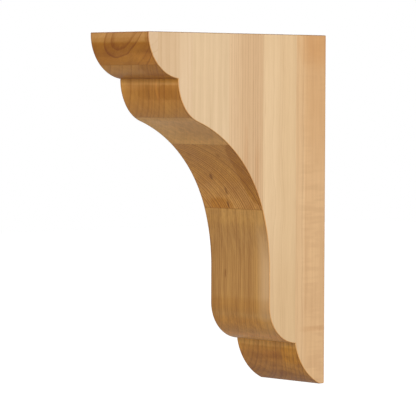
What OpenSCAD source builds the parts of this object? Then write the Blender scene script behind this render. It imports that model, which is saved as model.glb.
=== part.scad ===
// Wooden corbel bracket: six upright boards glued face to face, then shaped to one profile.
// The origin is the centre of the wall face. +Y runs into the wall, +Z up and X along the wall.

/* [Overall] */
// Height from the foot to the shelf face
height = 304.8; // [250:0.1:380]
// Reach of the shelf face from the wall to the front
depth = 203.2; // [168:0.1:245]
// Width along the wall
width = 76.2; // [40:0.1:150]

/* [Top lobe] */
// Flat lip under the shelf face, at the very front
lip = 1.5; // [0.5:0.1:6]
// Radius of the top lobe
top_lobe_r = 38; // [30:0.1:60]
// Distance from the front to the upper quirk, where the top lobe ends
upper_quirk_in = 32.6; // [24:0.1:40]

/* [Second lobe] */
// Radius of the second lobe, where it starts below the upper quirk
second_lobe_r = 43.8; // [34:0.1:60]
// Angle that the second lobe turns through before its nose
second_lobe_turn = 33; // [15:0.1:45]
// Radius of the nose that rolls over into the cove
nose_r = 31.5; // [12:0.1:40]

/* [Cove] */
// Distance from the wall to the deepest line of the cove
cove_out = 65.9; // [52:0.1:80]
// Height of the cove's deepest line above the foot
cove_level = 101.6; // [84:0.1:125]
// Lower cove radius as a multiple of the upper one
cove_ease = 1.4; // [1.05:0.01:2]
// Angle that the lower, flatter part of the cove turns through
cove_ease_turn = 17.3; // [5:0.1:30]

/* [Belly] */
// Height above the foot where the belly starts to round
belly_level = 70.4; // [55:0.1:84]
// Radius of the belly
belly_r = 33.4; // [25:0.1:42]
// Distance from the wall to the lower quirk, where the belly ends
lower_quirk_out = 34.9; // [28:0.1:45]

/* [Foot] */
// Radius of the lobe between the lower quirk and the foot
foot_lobe_r = 50.8; // [32:0.1:80]
// Length of the flat foot, out from the wall
foot_flat = 5.6; // [2:0.1:12]

/* [Boards] */
// Thickness of the strip at the very front
front_strip_t = 10.5; // [5:0.1:16]
// Thickness of the board behind the front strip
lip_board_t = 38; // [25:0.1:47]
// Thickness of the board that carries most of the cove
cove_board_t = 39; // [25:0.1:47]
// Thickness of the board that carries the waist and the belly
belly_board_t = 39; // [30:0.1:55]
// How far the board against the wall reaches in front of the foot lobe, which it carries whole
foot_cover = 0.3; // [0.1:0.1:5]

/* [Hidden] */
// Largest angle that one flat of a rounded stretch turns through
arc_step = 2;
// How far a cutting block runs past the outside of the wood
past = 1;

// The profile lies in [y, z], with the wall at y = 0 and the middle of the height at z = 0.
front = -depth;
top = height / 2;
foot = -height / 2;

function polar(centre, r, angle) = centre + r * [cos(angle), sin(angle)];
function towards(a, b) = (b - a) / norm(b - a);
function angle_to(centre, p) = (atan2(p[1] - centre[1], p[0] - centre[0]) + 360) % 360;
// How far below its centre's level a circle is, at a distance across from where it stands upright
function drop(r, across) = sqrt(r * r - (r - across) * (r - across));
// Centre of the circle of radius r through a and b that lies to the left of the way from a to b
function left_centre(a, b, r) =
    let (way = towards(a, b), half = norm(b - a) / 2)
    (a + b) / 2 + sqrt(r * r - half * half) * [-way[1], way[0]];
// Points along an arc, up to its end and without its start
function arc(centre, r, start, end) =
    let (steps = ceil(abs(end - start) / arc_step))
    [for (i = [1:steps]) polar(centre, r, start + (end - start) * i / steps)];

// Top lobe: stands upright below the lip and runs down to the upper quirk
lip_end = [front, top - lip];
top_lobe_centre = lip_end + [top_lobe_r, 0];
upper_quirk = lip_end + [upper_quirk_in, -drop(top_lobe_r, upper_quirk_in)];

// Second lobe: stands upright below the quirk, then tightens smoothly into its nose
second_lobe_centre = upper_quirk + [second_lobe_r, 0];
nose_angle = 180 + second_lobe_turn;
nose_centre = polar(second_lobe_centre, second_lobe_r - nose_r, nose_angle);

// Cove: a flat lower arc that stands upright at the waist, and a tighter upper arc that meets it
// smoothly and touches the nose. Its upper radius is the root of that touching condition,
// touch_a * r^2 - 2 * touch_b * r + touch_c = 0.
waist_top = [-cove_out, foot + cove_level];
cove_lean = [(cove_ease - 1) * cos(cove_ease_turn) - cove_ease, (cove_ease - 1) * sin(cove_ease_turn)];
nose_offset = nose_centre - waist_top;
touch_a = cove_lean * cove_lean - 1;
touch_b = nose_offset * cove_lean + nose_r;
touch_c = nose_offset * nose_offset - nose_r * nose_r;
upper_cove_r = touch_c / (touch_b + sqrt(touch_b * touch_b - touch_a * touch_c));
lower_cove_r = cove_ease * upper_cove_r;
upper_cove_centre = waist_top + upper_cove_r * cove_lean;
lower_cove_centre = waist_top - [lower_cove_r, 0];

// Belly: from the end of the straight waist round to the lower quirk
waist_end = [-cove_out, foot + belly_level];
belly_centre = waist_end + [belly_r, 0];
belly_reach = cove_out - lower_quirk_out;
lower_quirk = waist_end + [belly_reach, -drop(belly_r, belly_reach)];

// Foot lobe: through the lower quirk and the front end of the flat foot
foot_end = [-foot_flat, foot];
foot_lobe_centre = left_centre(lower_quirk, foot_end, foot_lobe_r);
quirk_angle = angle_to(foot_lobe_centre, lower_quirk);
foot_lobe_out = quirk_angle < 180 ? foot_lobe_r - foot_lobe_centre[0] : lower_quirk_out;

// Glue faces, from the front to the wall. The shoulder board fills what the others leave.
strip_joint = front + front_strip_t;
lip_joint = strip_joint + lip_board_t;
wall_joint = -(foot_lobe_out + foot_cover);
belly_joint = wall_joint - belly_board_t;
cove_joint = belly_joint - cove_board_t;

// The whole outline, from the wall along the shelf face, down the front and back to the wall
module profile() {
    polygon([
        [0, top],
        [front, top],
        lip_end,
        each arc(top_lobe_centre, top_lobe_r, 180, angle_to(top_lobe_centre, upper_quirk)),
        each arc(second_lobe_centre, second_lobe_r, 180, nose_angle),
        each arc(nose_centre, nose_r, nose_angle, angle_to(nose_centre, upper_cove_centre)),
        each arc(upper_cove_centre, upper_cove_r, angle_to(upper_cove_centre, nose_centre), cove_ease_turn),
        each arc(lower_cove_centre, lower_cove_r, cove_ease_turn, 0),
        waist_end,
        each arc(belly_centre, belly_r, 180, angle_to(belly_centre, lower_quirk)),
        each arc(foot_lobe_centre, foot_lobe_r, quirk_angle, angle_to(foot_lobe_centre, foot_end)),
        [0, foot]
    ]);
}

// The part of the shaped block between two glue faces, stood up in its place
module board(from, to) {
    rotate([90, 0, 90])
        intersection() {
            linear_extrude(width, center = true) profile();
            translate([from, foot - past, -width]) cube([to - from, height + 2 * past, 2 * width]);
        }
}

module front_strip() {
    color("peru") board(front - past, strip_joint);
}

module lip_board() {
    color("burlywood") board(strip_joint, lip_joint);
}

module shoulder_board() {
    color("wheat") board(lip_joint, cove_joint);
}

module cove_board() {
    color("tan") board(cove_joint, belly_joint);
}

module belly_board() {
    color("navajowhite") board(belly_joint, wall_joint);
}

module wall_board() {
    color("sandybrown") board(wall_joint, past);
}

front_strip();
lip_board();
shoulder_board();
cove_board();
belly_board();
wall_board();
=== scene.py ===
# Wooden corbel: six upright boards glued face to face, shaped to one profile and given a satin coat.
# Everything is in metres. The wall face is at y = 0, the front looks along -Y and Z is up.
import math
import bpy
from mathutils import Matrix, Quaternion, Vector


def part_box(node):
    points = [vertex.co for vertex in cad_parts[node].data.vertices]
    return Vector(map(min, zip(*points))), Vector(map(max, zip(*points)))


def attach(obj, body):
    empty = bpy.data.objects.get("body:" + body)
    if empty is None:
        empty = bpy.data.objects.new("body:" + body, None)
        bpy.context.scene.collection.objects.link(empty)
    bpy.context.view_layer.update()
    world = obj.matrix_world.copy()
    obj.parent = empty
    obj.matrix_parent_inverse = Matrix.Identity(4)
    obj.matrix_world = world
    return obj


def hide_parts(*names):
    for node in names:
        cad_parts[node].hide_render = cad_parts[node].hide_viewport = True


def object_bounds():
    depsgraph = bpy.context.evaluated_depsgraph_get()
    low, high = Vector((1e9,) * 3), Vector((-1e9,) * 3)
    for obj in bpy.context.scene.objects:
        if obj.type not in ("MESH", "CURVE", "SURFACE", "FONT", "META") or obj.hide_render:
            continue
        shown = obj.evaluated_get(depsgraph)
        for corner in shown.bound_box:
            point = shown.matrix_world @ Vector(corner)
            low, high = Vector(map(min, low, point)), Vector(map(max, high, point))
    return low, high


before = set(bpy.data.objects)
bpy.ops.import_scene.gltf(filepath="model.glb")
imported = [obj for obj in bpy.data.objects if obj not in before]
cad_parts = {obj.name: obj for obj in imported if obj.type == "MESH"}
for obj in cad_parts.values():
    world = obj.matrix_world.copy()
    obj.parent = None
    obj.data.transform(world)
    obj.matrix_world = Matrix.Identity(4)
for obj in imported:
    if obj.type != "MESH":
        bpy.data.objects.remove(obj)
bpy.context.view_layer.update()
lowCorner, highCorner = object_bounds()
front = lowCorner.y
top = highCorner.z
millimetre = 0.001


# Helpers for both kinds of node tree

def feed(tree, socket, value):
    # a socket gets wired up, anything else becomes the input's own value
    if isinstance(value, bpy.types.NodeSocket):
        tree.links.new(value, socket)
    else:
        socket.default_value = value


def addNode(tree, kind, inputs=None, **settings):
    node = tree.nodes.new(kind)
    for name, value in settings.items():
        setattr(node, name, value)
    for name, value in (inputs or {}).items():
        feed(tree, node.inputs[name], value)
    return node


def calc(tree, operation, *terms):
    node = tree.nodes.new("ShaderNodeMath")
    node.operation = operation
    for socket, term in zip(node.inputs, terms):
        feed(tree, socket, term)
    return node.outputs[0]


def vectorCalc(tree, operation, first, second):
    node = tree.nodes.new("ShaderNodeVectorMath")
    node.operation = operation
    feed(tree, node.inputs[0], first)
    feed(tree, node.inputs[1], second)
    return node.outputs[0]


def splitUp(tree, vector):
    node = tree.nodes.new("ShaderNodeSeparateXYZ")
    tree.links.new(vector, node.inputs[0])
    return node.outputs


def joinUp(tree, x, y, z):
    node = tree.nodes.new("ShaderNodeCombineXYZ")
    for socket, value in zip(node.inputs, (x, y, z)):
        feed(tree, socket, value)
    return node.outputs[0]


def fade(tree, value, start, end):
    # 0 at start and 1 at end, eased at both
    node = addNode(tree, "ShaderNodeMapRange", interpolation_type="SMOOTHSTEP")
    feed(tree, node.inputs["Value"], value)
    feed(tree, node.inputs["From Min"], start)
    feed(tree, node.inputs["From Max"], end)
    return node.outputs[0]


def centred(tree, value, share):
    # a value from 0 to 1 becomes one that swings evenly about 0
    return calc(tree, "MULTIPLY", calc(tree, "SUBTRACT", value, 0.5), share)


def keepWithin(tree, value, least, most):
    return calc(tree, "MINIMUM", calc(tree, "MAXIMUM", value, least), most)


def stretchedNoise(tree, position, pace, detail, roughness=0.5):
    # pace is waves in a metre along X, Y and Z, and the grain runs along Z
    noise = addNode(tree, "ShaderNodeTexNoise", {"Scale": 1.0, "Detail": detail, "Roughness": roughness})
    tree.links.new(vectorCalc(tree, "MULTIPLY", position, pace), noise.inputs["Vector"])
    return noise.outputs


def mixValues(tree, amount, first, second):
    node = addNode(tree, "ShaderNodeMix", data_type="FLOAT")
    for place, value in ((0, amount), (2, first), (3, second)):
        feed(tree, node.inputs[place], value)
    return node.outputs[0]


def mixColours(tree, amount, first, second, mode="MIX"):
    node = addNode(tree, "ShaderNodeMix", data_type="RGBA", blend_type=mode)
    for place, value in ((0, amount), (6, first), (7, second)):
        feed(tree, node.inputs[place], value)
    return node.outputs[2]


def newTree(name, kind, inputs, outputs):
    tree = bpy.data.node_groups.new(name, kind)
    for socketName, socketKind in inputs:
        tree.interface.new_socket(socketName, in_out="INPUT", socket_type="NodeSocket" + socketKind)
    for socketName, socketKind in outputs:
        tree.interface.new_socket(socketName, in_out="OUTPUT", socket_type="NodeSocket" + socketKind)
    given = tree.nodes.new("NodeGroupInput").outputs
    result = tree.nodes.new("NodeGroupOutput").inputs
    return tree, given, result


# Board shape

boardShape = {
    "arrisWidth": 0.8 * millimetre,   # how far the sanded arris reaches in from each edge
    "arrisSteps": 4,
    "arrisTurn": math.radians(30),    # edges that turn by more than this are arrises
    "sideFacing": 0.9,                # a face whose normal points this far along X is the side
    "weld": 0.01 * millimetre,
}


def liesOn(tree, corners, plane, slack):
    # both ends of an edge lie on the upright plane y = plane
    ends = [splitUp(tree, corners[name])[1] for name in ("Position 1", "Position 2")]
    hits = [calc(tree, "COMPARE", end, plane, slack) for end in ends]
    return calc(tree, "MULTIPLY", *hits)


def buildBoardTree():
    tree, given, result = newTree(
        "shapedBoard", "GeometryNodeTree",
        [("Block", "Geometry"), ("Width", "Float"), ("Front Joint", "Float"), ("Wall Joint", "Float"),
         ("Arris Turn", "Float"), ("Side Facing", "Float"), ("Weld", "Float"), ("Finish", "Material")],
        [("Board", "Geometry")])
    link = tree.links.new

    # outline of one side of the block, laid flat: an edge on it has one face beside it
    welded = addNode(tree, "GeometryNodeMergeByDistance",
                     {"Geometry": given["Block"], "Distance": given["Weld"]})
    facing = splitUp(tree, addNode(tree, "GeometryNodeInputNormal").outputs[0])[0]
    sideFace = addNode(tree, "GeometryNodeSeparateGeometry",
                       {"Geometry": welded.outputs[0]}, domain="FACE")
    link(calc(tree, "GREATER_THAN", facing, given["Side Facing"]), sideFace.inputs["Selection"])
    faceCount = addNode(tree, "GeometryNodeInputMeshEdgeNeighbors").outputs[0]
    outline = addNode(tree, "GeometryNodeMeshToCurve", {"Mesh": sideFace.outputs[0]})
    link(calc(tree, "COMPARE", faceCount, 1.0, 0.5), outline.inputs["Selection"])
    place = splitUp(tree, addNode(tree, "GeometryNodeInputPosition").outputs[0])
    laidFlat = addNode(tree, "GeometryNodeSetPosition", {"Geometry": outline.outputs[0]})
    link(joinUp(tree, place[1], place[2], 0.0), laidFlat.inputs["Position"])
    filled = addNode(tree, "GeometryNodeFillCurve", {"Curve": laidFlat.outputs[0]}, mode="NGONS")

    # stood up at the far side and swept across the width
    farSide = calc(tree, "MULTIPLY", given["Width"], -0.5)
    flat = splitUp(tree, addNode(tree, "GeometryNodeInputPosition").outputs[0])
    stoodUp = addNode(tree, "GeometryNodeSetPosition", {"Geometry": filled.outputs[0]})
    link(joinUp(tree, farSide, flat[0], flat[1]), stoodUp.inputs["Position"])
    swept = addNode(tree, "GeometryNodeExtrudeMesh", {"Mesh": stoodUp.outputs[0], "Offset": (1, 0, 0)},
                    mode="FACES")
    link(given["Width"], swept.inputs["Offset Scale"])
    farFace = addNode(tree, "GeometryNodeFlipFaces", {"Mesh": stoodUp.outputs[0]})
    joined = addNode(tree, "GeometryNodeJoinGeometry")
    link(swept.outputs[0], joined.inputs[0])
    link(farFace.outputs[0], joined.inputs[0])
    closed = addNode(tree, "GeometryNodeMergeByDistance",
                     {"Geometry": joined.outputs[0], "Distance": given["Weld"]})

    # arrises are eased except along the glue faces, where two boards run on flush
    turn = addNode(tree, "GeometryNodeInputMeshEdgeAngle").outputs
    corners = addNode(tree, "GeometryNodeInputMeshEdgeVertices").outputs
    glued = calc(tree, "MAXIMUM", liesOn(tree, corners, given["Front Joint"], given["Weld"]),
                 liesOn(tree, corners, given["Wall Joint"], given["Weld"]))
    outer = calc(tree, "GREATER_THAN", turn["Signed Angle"], given["Arris Turn"])
    eased = calc(tree, "MULTIPLY", outer, calc(tree, "SUBTRACT", 1.0, glued))
    weighted = addNode(tree, "GeometryNodeStoreNamedAttribute",
                       {"Geometry": closed.outputs[0], "Name": "bevel_weight_edge", "Value": eased},
                       data_type="FLOAT", domain="EDGE")
    hard = calc(tree, "GREATER_THAN", turn["Unsigned Angle"], given["Arris Turn"])
    crisp = calc(tree, "MULTIPLY", hard, calc(tree, "SUBTRACT", 1.0, eased))
    creased = addNode(tree, "GeometryNodeStoreNamedAttribute",
                      {"Geometry": weighted.outputs[0], "Name": "sharp_edge"},
                      data_type="BOOLEAN", domain="EDGE")
    link(crisp, creased.inputs["Value"])
    smooth = addNode(tree, "GeometryNodeSetShadeSmooth", {"Geometry": creased.outputs[0]})
    real = addNode(tree, "GeometryNodeRealizeInstances", {"Geometry": smooth.outputs[0]})
    coated = addNode(tree, "GeometryNodeSetMaterial",
                     {"Geometry": real.outputs[0], "Material": given["Finish"]})
    link(coated.outputs[0], result["Board"])
    return tree


boardTree = buildBoardTree()
print("board tree built")


# Wood effects that every board shares

ringLook = {
    "bendPace": (22, 22, 13),     # waves in a metre
    "kinkPace": (150, 150, 30),
    "kinkShare": 0.22,
    "yearPace": 0.45,             # waves in a ring, for the run of good and poor years
    "yearShift": 1.1,             # never so uneven that one ring runs into the next
    "lateFrom": 0.94,             # as shares of a ring
    "lateDarkest": 0.92,
    "lateOver": 0.93,
    "faintestRing": 0.25,
    "gapPace": (420, 420, 55),
    "gapLimits": (0.56, 0.42),
}


def buildGrowthRings():
    # rings round the pith, which is the pattern's own Z axis
    tree, given, result = newTree(
        "growthRings", "ShaderNodeTree",
        [("Position", "Vector"), ("Ring Width", "Float"), ("Wander", "Float"), ("Broken", "Float"),
         ("Late Share", "Float")],
        [("Late Wood", "Float"), ("Season", "Float")])
    bends = stretchedNoise(tree, given["Position"], ringLook["bendPace"], 2.0)
    kinks = stretchedNoise(tree, given["Position"], ringLook["kinkPace"], 2.0)
    bend = splitUp(tree, vectorCalc(tree, "SUBTRACT", bends["Color"], (0.5, 0.5, 0.5)))
    kink = centred(tree, kinks[0], ringLook["kinkShare"])
    at = splitUp(tree, given["Position"])
    reach = calc(tree, "MULTIPLY", given["Wander"], 2.0)   # the noise swings by only a half
    across, outward = [calc(tree, "MULTIPLY_ADD", calc(tree, "ADD", bend[axis], kink), reach, at[axis])
                       for axis in (0, 1)]
    radius = calc(tree, "SQRT", calc(tree, "ADD", calc(tree, "MULTIPLY", across, across),
                                     calc(tree, "MULTIPLY", outward, outward)))
    count = calc(tree, "DIVIDE", radius, given["Ring Width"])
    years = addNode(tree, "ShaderNodeTexNoise", {"Scale": ringLook["yearPace"], "Detail": 1.0, "W": count},
                    noise_dimensions="1D")
    uneven = calc(tree, "MULTIPLY_ADD", years.outputs[0], ringLook["yearShift"], count)
    share = calc(tree, "FRACT", uneven)
    season = addNode(tree, "ShaderNodeTexWhiteNoise", {"W": calc(tree, "FLOOR", uneven)},
                     noise_dimensions="1D")
    lateStart = calc(tree, "SUBTRACT", ringLook["lateFrom"], given["Late Share"])
    dark = calc(tree, "MULTIPLY", fade(tree, share, lateStart, ringLook["lateDarkest"]),
                fade(tree, share, 1.0, ringLook["lateOver"]))
    gaps = stretchedNoise(tree, given["Position"], ringLook["gapPace"], 1.0)
    broken = calc(tree, "MULTIPLY", fade(tree, gaps[0], *ringLook["gapLimits"]), given["Broken"])
    faintest = ringLook["faintestRing"]
    strength = calc(tree, "MULTIPLY_ADD", season.outputs[0], 1 - faintest, faintest)
    late = calc(tree, "MULTIPLY", calc(tree, "MULTIPLY", dark, strength),
                calc(tree, "SUBTRACT", 1.0, broken))
    tree.links.new(late, result["Late Wood"])
    tree.links.new(season.outputs[0], result["Season"])
    return tree


fibreLook = {
    "driftPace": (30, 30, 24),
    "fibrePace": (1100, 1100, 40),
    "streakPace": (210, 210, 9),
    "fleckPace": (560, 560, 95),
    "fleckFrom": 0.86,            # height of the noise where flecks start, less their share
    "fleckEdge": 0.07,
}


def buildFibreGrain():
    # fine fibres along Z, with scattered short dark flecks
    tree, given, result = newTree(
        "fibreGrain", "ShaderNodeTree",
        [("Position", "Vector"), ("Sway", "Float"), ("Fleck Share", "Float")],
        [("Fibre", "Float"), ("Streak", "Float"), ("Fleck", "Float")])
    drift = stretchedNoise(tree, given["Position"], fibreLook["driftPace"], 1.0)
    sway = addNode(tree, "ShaderNodeVectorMath", operation="SCALE")
    tree.links.new(vectorCalc(tree, "SUBTRACT", drift["Color"], (0.5, 0.5, 0.5)), sway.inputs[0])
    tree.links.new(given["Sway"], sway.inputs["Scale"])
    swayed = vectorCalc(tree, "ADD", given["Position"], sway.outputs[0])
    fibre = stretchedNoise(tree, swayed, fibreLook["fibrePace"], 3.0, roughness=0.6)
    streak = stretchedNoise(tree, swayed, fibreLook["streakPace"], 2.0)
    fleck = stretchedNoise(tree, given["Position"], fibreLook["fleckPace"], 1.0, roughness=0.4)
    start = calc(tree, "SUBTRACT", fibreLook["fleckFrom"], given["Fleck Share"])
    full = calc(tree, "ADD", start, fibreLook["fleckEdge"])
    tree.links.new(fibre[0], result["Fibre"])
    tree.links.new(streak[0], result["Streak"])
    tree.links.new(fade(tree, fleck[0], start, full), result["Fleck"])
    return tree


rippleLook = {
    "sidePace": 38.0,             # waves in a metre along the bands
    "bandLimits": (0.36, 0.64),
    "areaPace": (70, 70, 26),
    "areaLimits": (0.3, 0.6),
    "raggedDepth": 0.02,          # how unevenly the figure starts
    "startDepth": 0.014,          # how far it takes to start
    "fadeHeight": 0.09,           # it fades over this height above its strongest level
    "leastShare": 0.35,           # and this much of it stays
}


def buildRippleFigure():
    # soft level bands where the fibres weave to and fro, towards the wall and low down
    tree, given, result = newTree(
        "rippleFigure", "ShaderNodeTree",
        [("Position", "Vector"), ("Band Height", "Float"), ("Start", "Float"), ("Strongest", "Float")],
        [("Ripple", "Float")])
    at = splitUp(tree, given["Position"])
    upPace = calc(tree, "DIVIDE", 0.5, given["Band Height"])   # a band is half a wave
    pace = joinUp(tree, rippleLook["sidePace"], rippleLook["sidePace"], upPace)
    bands = stretchedNoise(tree, given["Position"], pace, 1.0, roughness=0.4)
    area = stretchedNoise(tree, given["Position"], rippleLook["areaPace"], 2.0)
    ragged = calc(tree, "MULTIPLY_ADD", area[0], rippleLook["raggedDepth"], at[1])
    begun = fade(tree, ragged, given["Start"], calc(tree, "ADD", given["Start"], rippleLook["startDepth"]))
    faded = calc(tree, "ADD", given["Strongest"], rippleLook["fadeHeight"])
    least = rippleLook["leastShare"]
    lower = calc(tree, "MULTIPLY_ADD", fade(tree, at[2], faded, given["Strongest"]), 1 - least, least)
    wave = calc(tree, "SUBTRACT", fade(tree, bands[0], *rippleLook["bandLimits"]), 0.5)
    local = calc(tree, "MULTIPLY", fade(tree, area[0], *rippleLook["areaLimits"]), lower)
    tree.links.new(calc(tree, "MULTIPLY", calc(tree, "MULTIPLY", wave, begun), local), result["Ripple"])
    return tree


# Where each kind of face starts and is full, as parts of its normal along one axis
cutLimits = {
    "wallBack": (0.8, 0.5),
    "shaped": (0.85, 0.35),
    "arrisStart": (0.06, 0.3),
    "arrisEnd": (0.998, 0.93),
    "endGrain": (0.93, 0.995),
    "top": (0.1, 0.5),
}


def buildCutFaces():
    # which way the wood was cut: shaped profile, end grain or arris
    tree, given, result = newTree(
        "cutFaces", "ShaderNodeTree",
        [("Normal", "Vector")],
        [("Shaped", "Float"), ("End Grain", "Float"), ("Arris", "Float"), ("Top", "Float")])
    facing = splitUp(tree, given["Normal"])
    sideways = calc(tree, "ABSOLUTE", facing[0])
    upright = calc(tree, "ABSOLUTE", facing[2])
    notWall = fade(tree, facing[1], *cutLimits["wallBack"])
    shaped = calc(tree, "MULTIPLY", fade(tree, sideways, *cutLimits["shaped"]), notWall)
    rounded = calc(tree, "MULTIPLY", fade(tree, sideways, *cutLimits["arrisStart"]),
                   fade(tree, sideways, *cutLimits["arrisEnd"]))
    tree.links.new(shaped, result["Shaped"])
    tree.links.new(fade(tree, upright, *cutLimits["endGrain"]), result["End Grain"])
    tree.links.new(rounded, result["Arris"])
    tree.links.new(fade(tree, facing[2], *cutLimits["top"]), result["Top"])
    return tree


def buildGlueLine():
    # thin line where two boards meet
    tree, given, result = newTree(
        "glueLine", "ShaderNodeTree",
        [("Position", "Vector"), ("Front Joint", "Float"), ("Wall Joint", "Float"),
         ("Line Width", "Float")],
        [("Glue", "Float")])
    depth = splitUp(tree, given["Position"])[1]
    gaps = [calc(tree, "ABSOLUTE", calc(tree, "SUBTRACT", depth, given[name]))
            for name in ("Front Joint", "Wall Joint")]
    nearest = calc(tree, "MINIMUM", *gaps)
    tree.links.new(fade(tree, nearest, given["Line Width"], 0.0), result["Glue"])
    return tree


edgeLook = {
    "pace": (160, 160, 160),      # waves in a metre, for the uneven width
    "fullShare": 0.3,             # the line is full over this share of its width
}


def buildEdgeLine():
    # finish gathers in a thin darker line beside each shaped arris
    tree, given, result = newTree(
        "edgeLine", "ShaderNodeTree",
        [("Position", "Vector"), ("Half Width", "Float"), ("Line Width", "Float")],
        [("Edge", "Float")])
    across = calc(tree, "ABSOLUTE", splitUp(tree, given["Position"])[0])
    inwards = calc(tree, "SUBTRACT", given["Half Width"], across)
    # the noise is a half on average, so half more keeps the mean width
    uneven = stretchedNoise(tree, given["Position"], edgeLook["pace"], 2.0)
    width = calc(tree, "MULTIPLY", given["Line Width"], calc(tree, "ADD", uneven[0], 0.5))
    full = calc(tree, "MULTIPLY", width, edgeLook["fullShare"])
    tree.links.new(fade(tree, inwards, width, full), result["Edge"])
    return tree


raggedPace = (190, 190, 60)       # waves in a metre, for a patch's ragged outline


def buildTonePatch():
    # soft-edged area, a rounded box with a ragged outline
    tree, given, result = newTree(
        "tonePatch", "ShaderNodeTree",
        [("Position", "Vector"), ("Centre", "Vector"), ("Reach", "Vector"), ("Softness", "Float"),
         ("Ragged", "Float")],
        [("Mask", "Float")])
    away = vectorCalc(tree, "DIVIDE", vectorCalc(tree, "SUBTRACT", given["Position"], given["Centre"]),
                      given["Reach"])
    squared = vectorCalc(tree, "MULTIPLY", away, away)
    boxed = addNode(tree, "ShaderNodeVectorMath", {0: squared}, operation="LENGTH").outputs["Value"]
    distance = calc(tree, "SQRT", boxed)
    uneven = stretchedNoise(tree, given["Position"], raggedPace, 3.0)
    wobble = calc(tree, "SUBTRACT", uneven[0], 0.5)
    edge = calc(tree, "MULTIPLY_ADD", wobble, given["Ragged"], distance)
    inner = calc(tree, "SUBTRACT", 1.0, given["Softness"])
    tree.links.new(fade(tree, edge, calc(tree, "ADD", 1.0, given["Softness"]), inner), result["Mask"])
    return tree


colourLook = {
    "plainDepth": 0.34,           # where plain wood lies between the pale and the deep colour
    "fleckColour": (0.16, 0.075, 0.03, 1),
    "fleckShare": 0.55,
    "endGrainTone": (0.6, 0.5, 0.42, 1),
    "edgeTone": (0.66, 0.55, 0.31, 1),
    "glueTone": (0.42, 0.3, 0.2, 1),
    "glueShare": 0.13,            # how strongly the glue line shows on the sides
    "glueGain": 0.22,             # and how much more where the wood is shaped
    "arrisShare": 0.8,
}


def buildBoardColour():
    # pale wood deepened by rings, fibres and flecks, then by how the face was cut; on the shaped faces
    # that deeper tone is partly the cross-cut wood and partly painted shade of the front
    tree, given, result = newTree(
        "boardColour", "ShaderNodeTree",
        [(name, "Color") for name in ("Pale", "Deep", "Cut Tone", "Arris Tone")]
        + [(name, "Float") for name in (
            "Side Contrast", "Cut Contrast", "Late Wood", "Ring Share", "Season", "Season Share",
            "Fibre", "Streak", "Streak Share", "Fleck", "End Grain", "Ripple", "Shaped", "Edge",
            "Arris", "Glue")],
        [("Colour", "Color")])

    def darken(amount, wood, tone):
        return mixColours(tree, amount, wood, mixColours(tree, 1.0, wood, tone, "MULTIPLY"))

    contrast = mixValues(tree, given["Shaped"], given["Side Contrast"], given["Cut Contrast"])
    late = calc(tree, "MULTIPLY", given["Late Wood"], given["Ring Share"])
    rings = calc(tree, "ADD", late, centred(tree, given["Season"], given["Season Share"]))
    fibres = calc(tree, "ADD", centred(tree, given["Fibre"], 1.0),
                  centred(tree, given["Streak"], given["Streak Share"]))
    figure = calc(tree, "ADD", calc(tree, "ADD", rings, fibres), given["Ripple"])
    depth = calc(tree, "MULTIPLY_ADD", figure, contrast, colourLook["plainDepth"])
    wood = mixColours(tree, keepWithin(tree, depth, 0.0, 1.0), given["Pale"], given["Deep"])
    fleck = calc(tree, "MULTIPLY", given["Fleck"], colourLook["fleckShare"])
    flecked = mixColours(tree, fleck, wood, colourLook["fleckColour"])
    # shaped faces get a darker, warmer tone: partly cross-cut wood, partly painted shade
    cut = darken(given["Shaped"], flecked, given["Cut Tone"])
    ended = darken(given["End Grain"], cut, colourLook["endGrainTone"])
    edged = darken(calc(tree, "MULTIPLY", given["Edge"], given["Shaped"]), ended, colourLook["edgeTone"])
    plain = calc(tree, "MULTIPLY_ADD", given["Shaped"], colourLook["glueGain"], colourLook["glueShare"])
    glued = darken(calc(tree, "MULTIPLY", given["Glue"], plain), edged, colourLook["glueTone"])
    worn = calc(tree, "MULTIPLY", given["Arris"], colourLook["arrisShare"])
    tree.links.new(mixColours(tree, worn, glued, given["Arris Tone"]), result["Colour"])
    return tree


coatLook = {
    "patchPace": (35, 35, 35),    # waves in a metre
    "patchShare": 0.18,
    "fibreShare": 0.16,
    "arrisShare": -0.06,          # rubbed arrises are a little glossier
    "limits": (0.2, 0.9),
    "brushPace": (900, 900, 900),
    "brushHeight": 0.25,
    "fibreHeight": 0.7,
    "ringHeight": 0.5,
}


def buildSatinCoat():
    # a thin coat that follows the fibres, with its own roughness where the wood is shaped
    tree, given, result = newTree(
        "satinCoat", "ShaderNodeTree",
        [("Position", "Vector"), ("Fibre", "Float"), ("Late Wood", "Float"), ("Shaped", "Float"),
         ("Arris", "Float"), ("Side Roughness", "Float"), ("Cut Roughness", "Float")],
        [("Roughness", "Float"), ("Height", "Float")])
    patchy = stretchedNoise(tree, given["Position"], coatLook["patchPace"], 3.0)
    brushed = stretchedNoise(tree, given["Position"], coatLook["brushPace"], 2.0)
    base = mixValues(tree, given["Shaped"], given["Side Roughness"], given["Cut Roughness"])
    uneven = centred(tree, patchy[0], coatLook["patchShare"])
    fibres = centred(tree, given["Fibre"], coatLook["fibreShare"])
    rubbed = calc(tree, "MULTIPLY", given["Arris"], coatLook["arrisShare"])
    total = calc(tree, "ADD", calc(tree, "ADD", base, uneven), calc(tree, "ADD", fibres, rubbed))
    tree.links.new(keepWithin(tree, total, *coatLook["limits"]), result["Roughness"])
    threads = calc(tree, "MULTIPLY", given["Fibre"], coatLook["fibreHeight"])
    raised = calc(tree, "MULTIPLY_ADD", given["Late Wood"], coatLook["ringHeight"], threads)
    height = calc(tree, "MULTIPLY_ADD", brushed[0], coatLook["brushHeight"], raised)
    tree.links.new(height, result["Height"])
    return tree


effects = {effect.name: effect for effect in (
    buildGrowthRings(), buildFibreGrain(), buildRippleFigure(), buildCutFaces(), buildGlueLine(),
    buildEdgeLine(), buildTonePatch(), buildBoardColour(), buildSatinCoat())}
print("wood effects built:", len(effects))


# One material and one piece for each board

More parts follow.
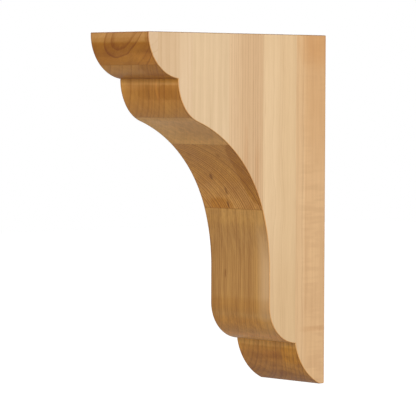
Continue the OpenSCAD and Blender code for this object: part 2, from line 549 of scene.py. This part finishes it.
sharedFinish = {
    "glueWidth": 0.35 * millimetre,
    "edgeWidth": 2.2 * millimetre,
    "arrisTone": (0.66, 0.31, 0.08, 1),
    "topArrisTone": (0.2, 0.1, 0.04, 1),
    "reliefStrength": 0.35,
    "reliefHeight": 0.12 * millimetre,
    "coat": 0.12,
    "coatRoughness": 0.32,
}


def addEffect(tree, name, **inputs):
    node = tree.nodes.new("ShaderNodeGroup")
    node.node_tree = effects[name]
    for inputName, value in inputs.items():
        feed(tree, node.inputs[inputName.replace("_", " ")], value)
    return node.outputs


def addPatch(tree, colour, patch, place, face):
    # multiplies the colour by the patch's tone, or mixes the patch's pale tone over it as a painted sheen
    mask = addEffect(tree, "tonePatch", Position=place, Centre=patch["centre"], Reach=patch["reach"],
                     Softness=patch["softness"], Ragged=patch["ragged"])["Mask"]
    mask = calc(tree, "MULTIPLY", mask, face)
    if "paintedSheen" in patch:
        return mixColours(tree, calc(tree, "MULTIPLY", mask, patch["paintedSheen"]), colour, patch["tone"])
    return mixColours(tree, mask, colour, patch["tone"], "MULTIPLY")


def makeWood(name, look, joints):
    material = bpy.data.materials.new(name)
    material.use_nodes = True
    tree = material.node_tree
    link = tree.links.new
    shader = tree.nodes["Principled BSDF"]
    where = tree.nodes.new("ShaderNodeTexCoord").outputs
    place = where["Object"]
    pith = addNode(tree, "ShaderNodeMapping", {"Vector": place}, vector_type="TEXTURE")
    pith.inputs["Location"].default_value = look["pith"]
    pith.inputs["Rotation"].default_value = [math.radians(angle) for angle in look["lean"]]

    rings = addEffect(tree, "growthRings", Position=pith.outputs[0], Ring_Width=look["ringWidth"],
                      Wander=look["wander"], Broken=look["broken"], Late_Share=look["lateShare"])
    fibres = addEffect(tree, "fibreGrain", Position=pith.outputs[0], Sway=look["sway"],
                       Fleck_Share=look["flecks"])
    ripple = addEffect(tree, "rippleFigure", Position=place, Band_Height=look["bandHeight"],
                       Start=look["rippleStart"], Strongest=look["rippleLevel"])
    cut = addEffect(tree, "cutFaces", Normal=where["Normal"])
    glue = addEffect(tree, "glueLine", Position=place, Front_Joint=joints[0], Wall_Joint=joints[1],
                     Line_Width=sharedFinish["glueWidth"])
    edge = addEffect(tree, "edgeLine", Position=place, Half_Width=highCorner.x,
                     Line_Width=sharedFinish["edgeWidth"])
    arrisTone = mixColours(tree, cut["Top"], sharedFinish["arrisTone"], sharedFinish["topArrisTone"])
    colour = addEffect(
        tree, "boardColour", Pale=look["pale"], Deep=look["deep"], Cut_Tone=look["cutToneAndShade"],
        Arris_Tone=arrisTone, Side_Contrast=look["sideContrast"], Cut_Contrast=look["cutContrast"],
        Late_Wood=rings["Late Wood"], Ring_Share=look["rings"],
        Season=rings["Season"], Season_Share=look["seasons"],
        Fibre=fibres["Fibre"], Streak=fibres["Streak"], Streak_Share=look["streaks"],
        Fleck=fibres["Fleck"], End_Grain=cut["End Grain"],
        Ripple=calc(tree, "MULTIPLY", ripple["Ripple"], look["ripple"]), Shaped=cut["Shaped"],
        Edge=edge["Edge"], Arris=cut["Arris"], Glue=glue["Glue"])["Colour"]
    for patch in look["frontPatches"]:
        colour = addPatch(tree, colour, patch, place, cut["Shaped"])
    sawn = calc(tree, "SUBTRACT", 1.0, cut["Shaped"])
    for patch in look["sidePatches"]:
        colour = addPatch(tree, colour, patch, place, sawn)
    coat = addEffect(tree, "satinCoat", Position=place, Fibre=fibres["Fibre"],
                     Late_Wood=rings["Late Wood"], Shaped=cut["Shaped"], Arris=cut["Arris"],
                     Side_Roughness=look["sideRoughness"], Cut_Roughness=look["cutRoughness"])
    relief = addNode(tree, "ShaderNodeBump",
                     {"Strength": sharedFinish["reliefStrength"], "Distance": sharedFinish["reliefHeight"],
                      "Height": coat["Height"]})
    link(colour, shader.inputs["Base Color"])
    link(coat["Roughness"], shader.inputs["Roughness"])
    link(relief.outputs[0], shader.inputs["Normal"])
    shader.inputs["Coat Weight"].default_value = sharedFinish["coat"]
    shader.inputs["Coat Roughness"].default_value = sharedFinish["coatRoughness"]
    shader.inputs["Specular IOR Level"].default_value = look["shine"]
    return material


def makeBoard(look):
    node = look["node"]
    low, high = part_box(node)
    beyond = 1.0   # a place no board reaches, for a face that isn't glued
    joints = [low.y if low.y > lowCorner.y + millimetre else -beyond,
              high.y if high.y < highCorner.y - millimetre else beyond]
    block = bpy.data.objects.new(look["name"] + "Block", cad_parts[node].data.copy())
    bpy.context.scene.collection.objects.link(block)
    shaping = block.modifiers.new("shaping", "NODES")
    shaping.node_group = boardTree
    sizes = {
        "Width": high.x - low.x,
        "Front Joint": joints[0],
        "Wall Joint": joints[1],
        "Arris Turn": boardShape["arrisTurn"],
        "Side Facing": boardShape["sideFacing"],
        "Weld": boardShape["weld"],
        "Finish": makeWood(look["name"] + "Wood", look, joints),
    }
    for item in boardTree.interface.items_tree:
        if item.name in sizes:
            shaping[item.identifier] = sizes[item.name]
    easing = block.modifiers.new("easing", "BEVEL")
    easing.limit_method = "WEIGHT"
    easing.width = boardShape["arrisWidth"]
    easing.segments = boardShape["arrisSteps"]
    easing.use_clamp_overlap = False
    depsgraph = bpy.context.evaluated_depsgraph_get()
    mesh = bpy.data.meshes.new_from_object(block.evaluated_get(depsgraph), depsgraph=depsgraph)
    bpy.data.objects.remove(block)
    mesh.set_sharp_from_angle(angle=boardShape["arrisTurn"])
    mesh.name = look["name"]
    board = bpy.data.objects.new(look["name"], mesh)
    bpy.context.scene.collection.objects.link(board)
    shading = board.modifiers.new("shading", "WEIGHTED_NORMAL")
    shading.keep_sharp = True
    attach(board, "root")
    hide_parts(node)
    print("board made:", look["name"], len(mesh.polygons), "faces")


wide = 0.3        # reach of a front patch that crosses the whole width
through = 0.06    # and of a side patch that shows on both sides

# What most boards share. A board's own dictionary changes what differs.
plainBoard = {
    "lean": (0, 0, 0),              # of the pith from upright, in degrees
    "broken": 0.2,                  # how far the rings fade in their gaps
    "lateShare": 0.5,               # how much of a ring is late wood
    "seasons": 0.4,                 # how much the rings differ in tone
    "flecks": 0.0,
    "bandHeight": 4 * millimetre,   # of the ripple figure
    "ripple": 0.1,
    "rippleStart": -0.22,           # it runs from this depth towards the wall
    "rippleLevel": 0.1,             # and is strongest below this height
    "sideRoughness": 0.5,
    "cutRoughness": 0.5,
    "shine": 0.3,                   # specular level
    # a patch's reach is half its size, and its softness and ragged are shares of that
    "frontPatches": [],             # on the shaped profile
    "sidePatches": [],              # on the sawn faces
}

# Front strip: cut close to the heart of the tree, so the shaping opens nested loops
frontStrip = {
    **plainBoard,
    "node": "front_strip",
    "name": "frontStrip",
    "pale": (0.80, 0.595, 0.385, 1),
    "deep": (0.50, 0.28, 0.12, 1),
    "cutToneAndShade": (0.72, 0.393, 0.07, 1),
    "pith": (0.003, -0.2127, 0.15),
    "lean": (-9, 42, 0),            # degrees
    "ringWidth": 6.0 * millimetre,
    "wander": 4.0 * millimetre,
    "lateShare": 0.32,
    "rings": 0.9,
    "streaks": 0.9,
    "sway": 1.5 * millimetre,
    "flecks": 0.02,
    "bandHeight": 3.2 * millimetre,
    "ripple": 0.25,
    "rippleLevel": 0.11,
    "sideContrast": 0.15,
    "cutContrast": 0.75,
    "frontPatches": [
        # greyer upper part, and a pale band under the shelf face
        {"centre": (0, front, top + 0.05), "reach": (wide, 0.1, 0.0588),
         "softness": 0.02, "ragged": 0.04, "tone": (1.14, 1.37, 2.85, 1)},
        {"centre": (0, front, top), "reach": (wide, 0.1, 0.0048),
         "softness": 0.2, "ragged": 0.2, "tone": (1.06, 1.13, 1.42, 1)},
        # dark line along the top, and painted shade in the top corner towards +X
        {"centre": (0, front, top), "reach": (wide, 0.0014, 0.0009),
         "softness": 0.3, "ragged": 0.1, "tone": (0.6, 0.5, 0.4, 1)},
        {"centre": (0.0355, front, top - 0.0034), "reach": (0.0027, 0.02, 0.0055),
         "softness": 0.3, "ragged": 0.3, "tone": (0.87, 0.79, 0.64, 1)},
        # duller band, then a lighter one where the lobe rolls under
        {"centre": (0, -0.2, 0.1395), "reach": (wide, 0.1, 0.0045),
         "softness": 0.4, "ragged": 0.3, "tone": (0.86, 0.84, 0.6, 1)},
        {"centre": (0, -0.195, 0.1245), "reach": (wide, 0.1, 0.0065),
         "softness": 0.5, "ragged": 0.3, "tone": (1.08, 1.09, 0.92, 1)},
        # light place towards +X, and a duller one with a streak towards -X
        {"centre": (0.028, -0.195, 0.1275), "reach": (0.016, 0.02, 0.0065),
         "softness": 0.4, "ragged": 0.6, "tone": (1.16, 1.2, 1.2, 1)},
        {"centre": (-0.028, -0.197, 0.1325), "reach": (0.018, 0.02, 0.009),
         "softness": 0.5, "ragged": 0.6, "tone": (0.94, 0.9, 0.74, 1)},
        {"centre": (-0.026, -0.197, 0.1335), "reach": (0.018, 0.01, 0.0018),
         "softness": 0.5, "ragged": 1.0, "tone": (0.88, 0.84, 0.72, 1)},
    ],
}
makeBoard(frontStrip)

# Lip board: streaks that sweep across the curve, with a few stained places
lipBoard = {
    **plainBoard,
    "node": "lip_board",
    "name": "lipBoard",
    "pale": (0.768, 0.558, 0.342, 1),
    "deep": (0.56, 0.34, 0.17, 1),
    "cutToneAndShade": (0.9, 0.57, 0.16, 1),
    "pith": (-0.16, -0.367, 0.0),
    "ringWidth": 3.4 * millimetre,
    "wander": 1.4 * millimetre,
    "rings": 0.9,
    "streaks": 1.2,
    "sway": 3.0 * millimetre,
    "sideContrast": 0.28,
    "cutContrast": 0.7,
    "frontPatches": [
        # stained place towards +X with a faint tail, and clean wood beside it
        {"centre": (0.03, -0.187, 0.1205), "reach": (0.0185, 0.012, 0.0055),
         "softness": 0.12, "ragged": 0.5, "tone": (0.84, 0.76, 0.42, 1)},
        {"centre": (0.03, -0.178, 0.1145), "reach": (0.019, 0.02, 0.004),
         "softness": 0.4, "ragged": 0.8, "tone": (1.02, 0.98, 0.7, 1)},
        {"centre": (-0.012, -0.186, 0.119), "reach": (0.026, 0.012, 0.007),
         "softness": 0.5, "ragged": 0.8, "tone": (0.97, 0.98, 1.09, 1)},
        # painted shade just above the upper quirk, below the top lobe, and painted light just below it
        # where the quirk catches light
        {"centre": (0, -0.176, 0.1145), "reach": (wide, 0.0075, 0.005),
         "softness": 0.4, "ragged": 0.15, "tone": (0.79, 0.73, 0.5, 1)},
        {"centre": (0, -0.1706, 0.1112), "reach": (wide, 0.0025, 0.0028),
         "softness": 0.4, "ragged": 0.15, "tone": (1.22, 1.34, 1.66, 1)},
        {"centre": (0, -0.17, 0.1095), "reach": (wide, 0.0035, 0.005),
         "softness": 0.5, "ragged": 0.15, "tone": (1.19, 1.25, 1.66, 1)},
        # stained places below the quirk, then a pale and a dark streak in them
        {"centre": (0.008, -0.169, 0.1015), "reach": (0.0235, 0.012, 0.0062),
         "softness": 0.25, "ragged": 0.7, "tone": (0.91, 0.87, 0.73, 1)},
        {"centre": (0.026, -0.1692, 0.1018), "reach": (0.0155, 0.012, 0.0062),
         "softness": 0.12, "ragged": 0.5, "tone": (0.9, 0.84, 0.66, 1)},
        {"centre": (0.0088, -0.169, 0.103), "reach": (0.0016, 0.02, 0.0075),
         "softness": 0.4, "ragged": 0.4, "tone": (1.2, 1.22, 1.3, 1)},
        {"centre": (-0.0035, -0.169, 0.1025), "reach": (0.0022, 0.02, 0.006),
         "softness": 0.4, "ragged": 0.6, "tone": (0.86, 0.82, 0.7, 1)},
    ],
    "sidePatches": [
        # pale and dull upright streaks on the sides
        {"centre": (0, -0.16, 0.115), "reach": (through, 0.007, 0.045),
         "softness": 0.6, "ragged": 0.3, "tone": (1.1, 1.15, 1.22, 1)},
        {"centre": (0, -0.186, 0.14), "reach": (through, 0.008, 0.03),
         "softness": 0.5, "ragged": 0.3, "tone": (0.96, 0.94, 0.92, 1)},
    ],
}
makeBoard(lipBoard)

# Shoulder board: even and quiet, a little grey where it is shaped
shoulderBoard = {
    **plainBoard,
    "node": "shoulder_board",
    "name": "shoulderBoard",
    "pale": (0.802, 0.583, 0.355, 1),
    "deep": (0.58, 0.39, 0.21, 1),
    "cutToneAndShade": (0.97, 0.685, 0.29, 1),
    "pith": (-0.18, -0.32, 0.0),
    "ringWidth": 2.8 * millimetre,
    "wander": 2.0 * millimetre,
    "broken": 0.3,
    "rings": 0.45,
    "streaks": 2.4,
    "sway": 3.0 * millimetre,
    "seasons": 0.3,
    "sideContrast": 0.34,
    "cutContrast": 0.66,
    "frontPatches": [
        # paler towards -X, greyer towards +X, and a pale edge beside the cove board
        {"centre": (-0.03, -0.135, 0.073), "reach": (0.019, 0.05, 0.014),
         "softness": 0.5, "ragged": 0.8, "tone": (1.07, 1.11, 1.18, 1)},
        {"centre": (0.02, -0.132, 0.069), "reach": (0.018, 0.016, 0.007),
         "softness": 0.6, "ragged": 0.9, "tone": (0.92, 0.91, 0.94, 1)},
        {"centre": (0, -0.114, 0.0585), "reach": (wide, 0.005, 0.0032),
         "softness": 0.4, "ragged": 0.2, "tone": (1.1, 1.11, 1.12, 1)},
    ],
}
makeBoard(shoulderBoard)

# Cove board: close rings that cross the cove as fine lines, with small dark pin marks
coveBoard = {
    **plainBoard,
    "node": "cove_board",
    "name": "coveBoard",
    "pale": (0.79, 0.545, 0.305, 1),
    "deep": (0.44, 0.23, 0.11, 1),
    "cutToneAndShade": (1.022, 0.732, 0.239, 1),
    "pith": (-0.085, 0.022, 0.0),
    "ringWidth": 1.9 * millimetre,
    "wander": 0.35 * millimetre,
    "broken": 0.4,
    "lateShare": 0.45,
    "rings": 1.9,
    "streaks": 0.5,
    "sway": 1.5 * millimetre,
    "seasons": 0.12,
    "flecks": 0.06,
    "sideContrast": 0.2,
    "cutContrast": 1.25,
    "frontPatches": [
        # dark band that curves away towards +X
        {"centre": (0.123, -0.09, 0.032), "reach": (0.1, 0.06, 0.0335),
         "softness": 0.012, "ragged": 0.02, "tone": (0.8, 0.7, 0.41, 1)},
        # paler low end, and a dull place above it towards -X
        {"centre": (0, -0.078, 0.01), "reach": (wide, 0.02, 0.014),
         "softness": 0.4, "ragged": 0.3, "tone": (1.0, 1.045, 1.35, 1)},
        {"centre": (0.011, -0.0775, 0.008), "reach": (0.012, 0.02, 0.007),
         "softness": 0.4, "ragged": 0.7, "tone": (1.04, 1.07, 1.14, 1)},
        {"centre": (-0.026, -0.093, 0.034), "reach": (0.015, 0.03, 0.016),
         "softness": 0.5, "ragged": 0.7, "tone": (0.93, 0.92, 1.02, 1)},
        # brown stain at the low end, with dark pin marks in it and above it
        {"centre": (-0.016, -0.0762, 0.0045), "reach": (0.0145, 0.006, 0.0062),
         "softness": 0.3, "ragged": 0.9, "tone": (0.86, 0.74, 0.42, 1)},
        {"centre": (-0.005, -0.0756, 0.005), "reach": (0.0012, 0.003, 0.003),
         "softness": 0.5, "ragged": 1.0, "tone": (0.4, 0.3, 0.24, 1)},
        {"centre": (-0.014, -0.0874, 0.029), "reach": (0.0016, 0.003, 0.0022),
         "softness": 0.6, "ragged": 1.0, "tone": (0.52, 0.42, 0.32, 1)},
        {"centre": (-0.002, -0.0805, 0.017), "reach": (0.0012, 0.003, 0.003),
         "softness": 0.6, "ragged": 1.0, "tone": (0.6, 0.5, 0.4, 1)},
        {"centre": (0.012, -0.1025, 0.048), "reach": (0.0022, 0.003, 0.0016),
         "softness": 0.6, "ragged": 1.0, "tone": (0.72, 0.62, 0.5, 1)},
    ],
    "sidePatches": [
        # paler front part of the sides, and two dark upright streaks
        {"centre": (0, -0.1132, 0.1), "reach": (through, 0.012, 0.12),
         "softness": 0.5, "ragged": 0.3, "tone": (1.09, 1.14, 1.2, 1)},
        {"centre": (0, -0.0937, 0.034), "reach": (through, 0.0022, 0.034),
         "softness": 0.4, "ragged": 1.0, "tone": (0.96, 0.9, 0.86, 1)},
        {"centre": (0, -0.081, 0.03), "reach": (through, 0.0024, 0.03),
         "softness": 0.4, "ragged": 1.0, "tone": (0.95, 0.89, 0.84, 1)},
    ],
}
makeBoard(coveBoard)

# Belly board: long straight grain with thin wavy lines
bellyBoard = {
    **plainBoard,
    "node": "belly_board",
    "name": "bellyBoard",
    "pale": (0.83, 0.592, 0.334, 1),
    "deep": (0.52, 0.31, 0.15, 1),
    "cutToneAndShade": (0.795, 0.588, 0.27, 1),
    "pith": (-0.13, -0.17, 0.0),
    "ringWidth": 1.9 * millimetre,
    "wander": 3.0 * millimetre,
    "broken": 0.3,
    "lateShare": 0.4,
    "rings": 0.78,
    "streaks": 1.4,
    "sway": 4.0 * millimetre,
    "flecks": 0.03,
    "ripple": 0.08,
    "rippleLevel": -0.1,
    "sideContrast": 0.2,
    "cutContrast": 0.85,
    "cutRoughness": 0.42,
    "shine": 0.35,
    "frontPatches": [
        # paler top end, and a slightly duller waist
        {"centre": (0, -0.073, -0.003), "reach": (wide, 0.02, 0.008),
         "softness": 0.5, "ragged": 0.15, "tone": (1.125, 1.155, 1.16, 1)},
        {"centre": (0, -0.066, -0.047), "reach": (wide, 0.02, 0.03),
         "softness": 0.3, "ragged": 0.2, "tone": (0.95, 0.965, 1.09, 1)},
        # painted sheen: a pale highlight beside the +X arris
        {"centre": (0.034, -0.066, -0.06), "reach": (0.0075, 0.012, 0.034),
         "softness": 0.85, "ragged": 0.3, "tone": (0.82, 0.555, 0.305, 1), "paintedSheen": 0.56},
        # duller, then redder, then paler as the belly turns under; the paler part is painted light thrown
        # up from below
        {"centre": (0, -0.065, -0.0835), "reach": (wide, 0.012, 0.0065),
         "softness": 0.5, "ragged": 0.25, "tone": (0.91, 0.86, 0.77, 1)},
        {"centre": (0, -0.057, -0.103), "reach": (wide, 0.012, 0.0095),
         "softness": 0.4, "ragged": 0.15, "tone": (1.02, 0.885, 0.54, 1)},
        {"centre": (0, -0.0485, -0.1112), "reach": (wide, 0.005, 0.0045),
         "softness": 0.5, "ragged": 0.15, "tone": (1.18, 1.1, 0.95, 1)},
        {"centre": (0, -0.037, -0.1156), "reach": (wide, 0.006, 0.0035),
         "softness": 0.4, "ragged": 0.15, "tone": (1.28, 1.26, 1.05, 1)},
        # pin mark
        {"centre": (-0.019, -0.066, -0.0561), "reach": (0.0009, 0.004, 0.0032),
         "softness": 0.6, "ragged": 1.0, "tone": (0.7, 0.6, 0.5, 1)},
    ],
    "sidePatches": [
        # the sides are paler high up and duller low down
        {"centre": (0, -0.066, 0.06), "reach": (through, 0.012, 0.1),
         "softness": 0.5, "ragged": 0.4, "tone": (1.06, 1.09, 1.14, 1)},
        {"centre": (0, -0.045, -0.09), "reach": (through, 0.014, 0.045),
         "softness": 0.5, "ragged": 0.4, "tone": (0.96, 0.94, 0.91, 1)},
    ],
}
makeBoard(bellyBoard)

# Wall board: warm wood with a rippled figure towards the wall
wallBoard = {
    **plainBoard,
    "node": "wall_board",
    "name": "wallBoard",
    "pale": (0.775, 0.499, 0.254, 1),
    "deep": (0.50, 0.27, 0.13, 1),
    "cutToneAndShade": (0.76, 0.51, 0.16, 1),
    "pith": (-0.067, -0.099, 0.0),
    "ringWidth": 3.4 * millimetre,
    "wander": 1.6 * millimetre,
    "rings": 1.0,
    "streaks": 1.3,
    "sway": 4.0 * millimetre,
    "flecks": 0.02,
    "bandHeight": 1.7 * millimetre,
    "ripple": 0.65,
    "rippleStart": -0.026,
    "rippleLevel": 0.0,
    "sideContrast": 0.28,
    "cutContrast": 0.95,
    "sideRoughness": 0.48,
    "frontPatches": [
        # painted light, paler just below the lower quirk
        {"centre": (0, -0.034, -0.1175), "reach": (wide, 0.012, 0.0028),
         "softness": 0.4, "ragged": 0.15, "tone": (1.26, 1.42, 1.85, 1)},
        {"centre": (0, -0.033, -0.1205), "reach": (wide, 0.012, 0.0062),
         "softness": 0.4, "ragged": 0.15, "tone": (1.22, 1.3, 1.42, 1)},
        # yellower place towards +X, a short dark streak, and a lighter place lower down
        {"centre": (0.028, -0.0315, -0.1265), "reach": (0.0115, 0.02, 0.008),
         "softness": 0.12, "ragged": 0.5, "tone": (1.08, 1.06, 0.72, 1)},
        {"centre": (0.002, -0.032, -0.128), "reach": (0.013, 0.01, 0.0035),
         "softness": 0.5, "ragged": 0.9, "tone": (0.86, 0.78, 0.72, 1)},
        {"centre": (0.03, -0.024, -0.1385), "reach": (0.018, 0.03, 0.0085),
         "softness": 0.5, "ragged": 0.6, "tone": (1.12, 1.15, 0.98, 1)},
        # dark end of the foot
        {"centre": (0, -0.012, -0.151), "reach": (wide, 0.02, 0.0095),
         "softness": 0.5, "ragged": 0.15, "tone": (0.81, 0.74, 0.48, 1)},
    ],
    "sidePatches": [
        # the sides are warmer high up by the wall, and paler along the front of the board
        {"centre": (0, 0, top), "reach": (through, 0.03, 0.1),
         "softness": 0.4, "ragged": 0.4, "tone": (0.95, 0.9, 0.83, 1)},
        {"centre": (0, 0, top), "reach": (through, 0.03, 0.026),
         "softness": 0.4, "ragged": 0.4, "tone": (0.965, 0.885, 0.785, 1)},
        {"centre": (0, -0.0335, 0.0), "reach": (through, 0.0095, 0.4),
         "softness": 0.35, "ragged": 0.25, "tone": (1.07, 1.13, 1.19, 1)},
        # one level streak and one upright one
        {"centre": (0, -0.0125, -0.1035), "reach": (through, 0.014, 0.0022),
         "softness": 0.5, "ragged": 1.0, "tone": (0.93, 0.88, 0.84, 1)},
        {"centre": (0, -0.0235, -0.03), "reach": (through, 0.0007, 0.09),
         "softness": 0.4, "ragged": 1.0, "tone": (0.95, 0.91, 0.88, 1)},
    ],
}
makeBoard(wallBoard)


# Floor, light and camera

studio = {
    "shelfHeight": 0.9,         # the shelf face stands this far above the floor
    "floorReach": 12.0,
    "floorGlow": 0.75,          # lifts the floor to the backdrop's white, for the camera only
    "floorBounce": 0.5,         # share of light that the floor throws back up
    "floorTone": 0.9,           # and the share that the camera sees
    "mottleScale": 3.0,
    "mottleShare": 0.04,
    "floorRoughness": 0.8,
    "ambient": 0.35,
    "lights": {
        "keyLight": {"place": (2.6, -0.5, 1.3), "size": 2.0, "power": 64.0, "colour": (1, 1, 1)},
        "fillLight": {"place": (-0.9, -2.4, 1.7), "size": 2.0, "power": 34.0, "colour": (1, 0.93, 0.84)},
        "backLight": {"place": (-2.2, 1.6, 1.4), "size": 2.0, "power": 34.0, "colour": (1, 1, 1)},
    },
}
middle = (lowCorner + highCorner) / 2


def makeFloor():
    reach = studio["floorReach"]
    level = top - studio["shelfHeight"]
    mesh = bpy.data.meshes.new("floor")
    corners = [(x * reach, y * reach, level) for x, y in ((-1, -1), (1, -1), (1, 1), (-1, 1))]
    mesh.from_pydata(corners, [], [(0, 1, 2, 3)])
    floor = bpy.data.objects.new("floor", mesh)
    bpy.context.scene.collection.objects.link(floor)
    material = bpy.data.materials.new("floorPaint")
    material.use_nodes = True
    tree = material.node_tree
    shader = tree.nodes["Principled BSDF"]
    where = tree.nodes.new("ShaderNodeTexCoord")
    mottle = addNode(tree, "ShaderNodeTexNoise",
                     {"Vector": where.outputs["Object"], "Scale": studio["mottleScale"]})
    seen = tree.nodes.new("ShaderNodeLightPath").outputs["Is Camera Ray"]
    tone = addNode(tree, "ShaderNodeMapRange",
                   {"Value": seen, "To Min": studio["floorBounce"], "To Max": studio["floorTone"]})
    mottled = calc(tree, "MULTIPLY_ADD", mottle.outputs[0], studio["mottleShare"], tone.outputs[0])
    tree.links.new(joinUp(tree, mottled, mottled, mottled), shader.inputs["Base Color"])
    shader.inputs["Roughness"].default_value = studio["floorRoughness"]
    shader.inputs["Emission Color"].default_value = (1, 1, 1, 1)
    tree.links.new(calc(tree, "MULTIPLY", seen, studio["floorGlow"]), shader.inputs["Emission Strength"])
    # seen from below the floor lets the view through
    clear = tree.nodes.new("ShaderNodeBsdfTransparent")
    side = tree.nodes.new("ShaderNodeNewGeometry")
    pick = tree.nodes.new("ShaderNodeMixShader")
    output = tree.nodes["Material Output"]
    tree.links.new(side.outputs["Backfacing"], pick.inputs[0])
    tree.links.new(shader.outputs[0], pick.inputs[1])
    tree.links.new(clear.outputs[0], pick.inputs[2])
    tree.links.new(pick.outputs[0], output.inputs["Surface"])
    mesh.materials.append(material)


def makeWorld():
    # white backdrop for the camera, softer as a light
    world = bpy.data.worlds.new("studioWorld")
    bpy.context.scene.world = world
    world.use_nodes = True
    tree = world.node_tree
    background = tree.nodes["Background"]
    background.inputs["Color"].default_value = (1, 1, 1, 1)
    seen = tree.nodes.new("ShaderNodeLightPath").outputs["Is Camera Ray"]
    strength = addNode(tree, "ShaderNodeMapRange",
                       {"Value": seen, "To Min": studio["ambient"], "To Max": 1.0})
    tree.links.new(strength.outputs[0], background.inputs["Strength"])


def addLight(name, place, size, power, colour):
    light = bpy.data.lights.new(name, "AREA")
    light.shape = "DISK"
    light.size = size
    light.energy = power
    light.color = colour
    lamp = bpy.data.objects.new(name, light)
    lamp.location = place
    lamp.rotation_mode = "QUATERNION"
    lamp.rotation_quaternion = (middle - Vector(place)).to_track_quat("-Z", "Y")
    bpy.context.scene.collection.objects.link(lamp)


cameraView = {
    "azimuth": 48.53,            # degrees round from straight in front
    "lookDown": 2.25,            # degrees below level
    "roll": 0.234,               # degrees
    "distance": 2.452,
    "lens": 246.24,              # in millimetres
    "aimAcross": -0.0012,        # from the middle of the corbel, across the view
    "aimUp": 0.0026,
    "nearest": 0.05,
    "farthest": 100.0,
}


def makeCamera():
    turn = math.radians(cameraView["azimuth"])
    tilt = math.radians(cameraView["lookDown"])
    ahead = Vector((-math.sin(turn) * math.cos(tilt), math.cos(turn) * math.cos(tilt), -math.sin(tilt)))
    right = Vector((math.cos(turn), math.sin(turn), 0))
    aim = middle + right * cameraView["aimAcross"] + right.cross(ahead) * cameraView["aimUp"]
    lens = bpy.data.cameras.new("camera")
    lens.lens = cameraView["lens"]
    lens.clip_start = cameraView["nearest"]
    lens.clip_end = cameraView["farthest"]
    camera = bpy.data.objects.new("camera", lens)
    camera.location = aim - ahead * cameraView["distance"]
    camera.rotation_mode = "QUATERNION"
    rolled = Quaternion((0, 0, 1), math.radians(cameraView["roll"]))
    camera.rotation_quaternion = ahead.to_track_quat("-Z", "Y") @ rolled
    bpy.context.scene.collection.objects.link(camera)
    bpy.context.scene.camera = camera


makeFloor()
makeWorld()
for lightName, lightValues in studio["lights"].items():
    addLight(lightName, **lightValues)
makeCamera()
bpy.context.scene.view_settings.view_transform = "Standard"
print("studio ready")
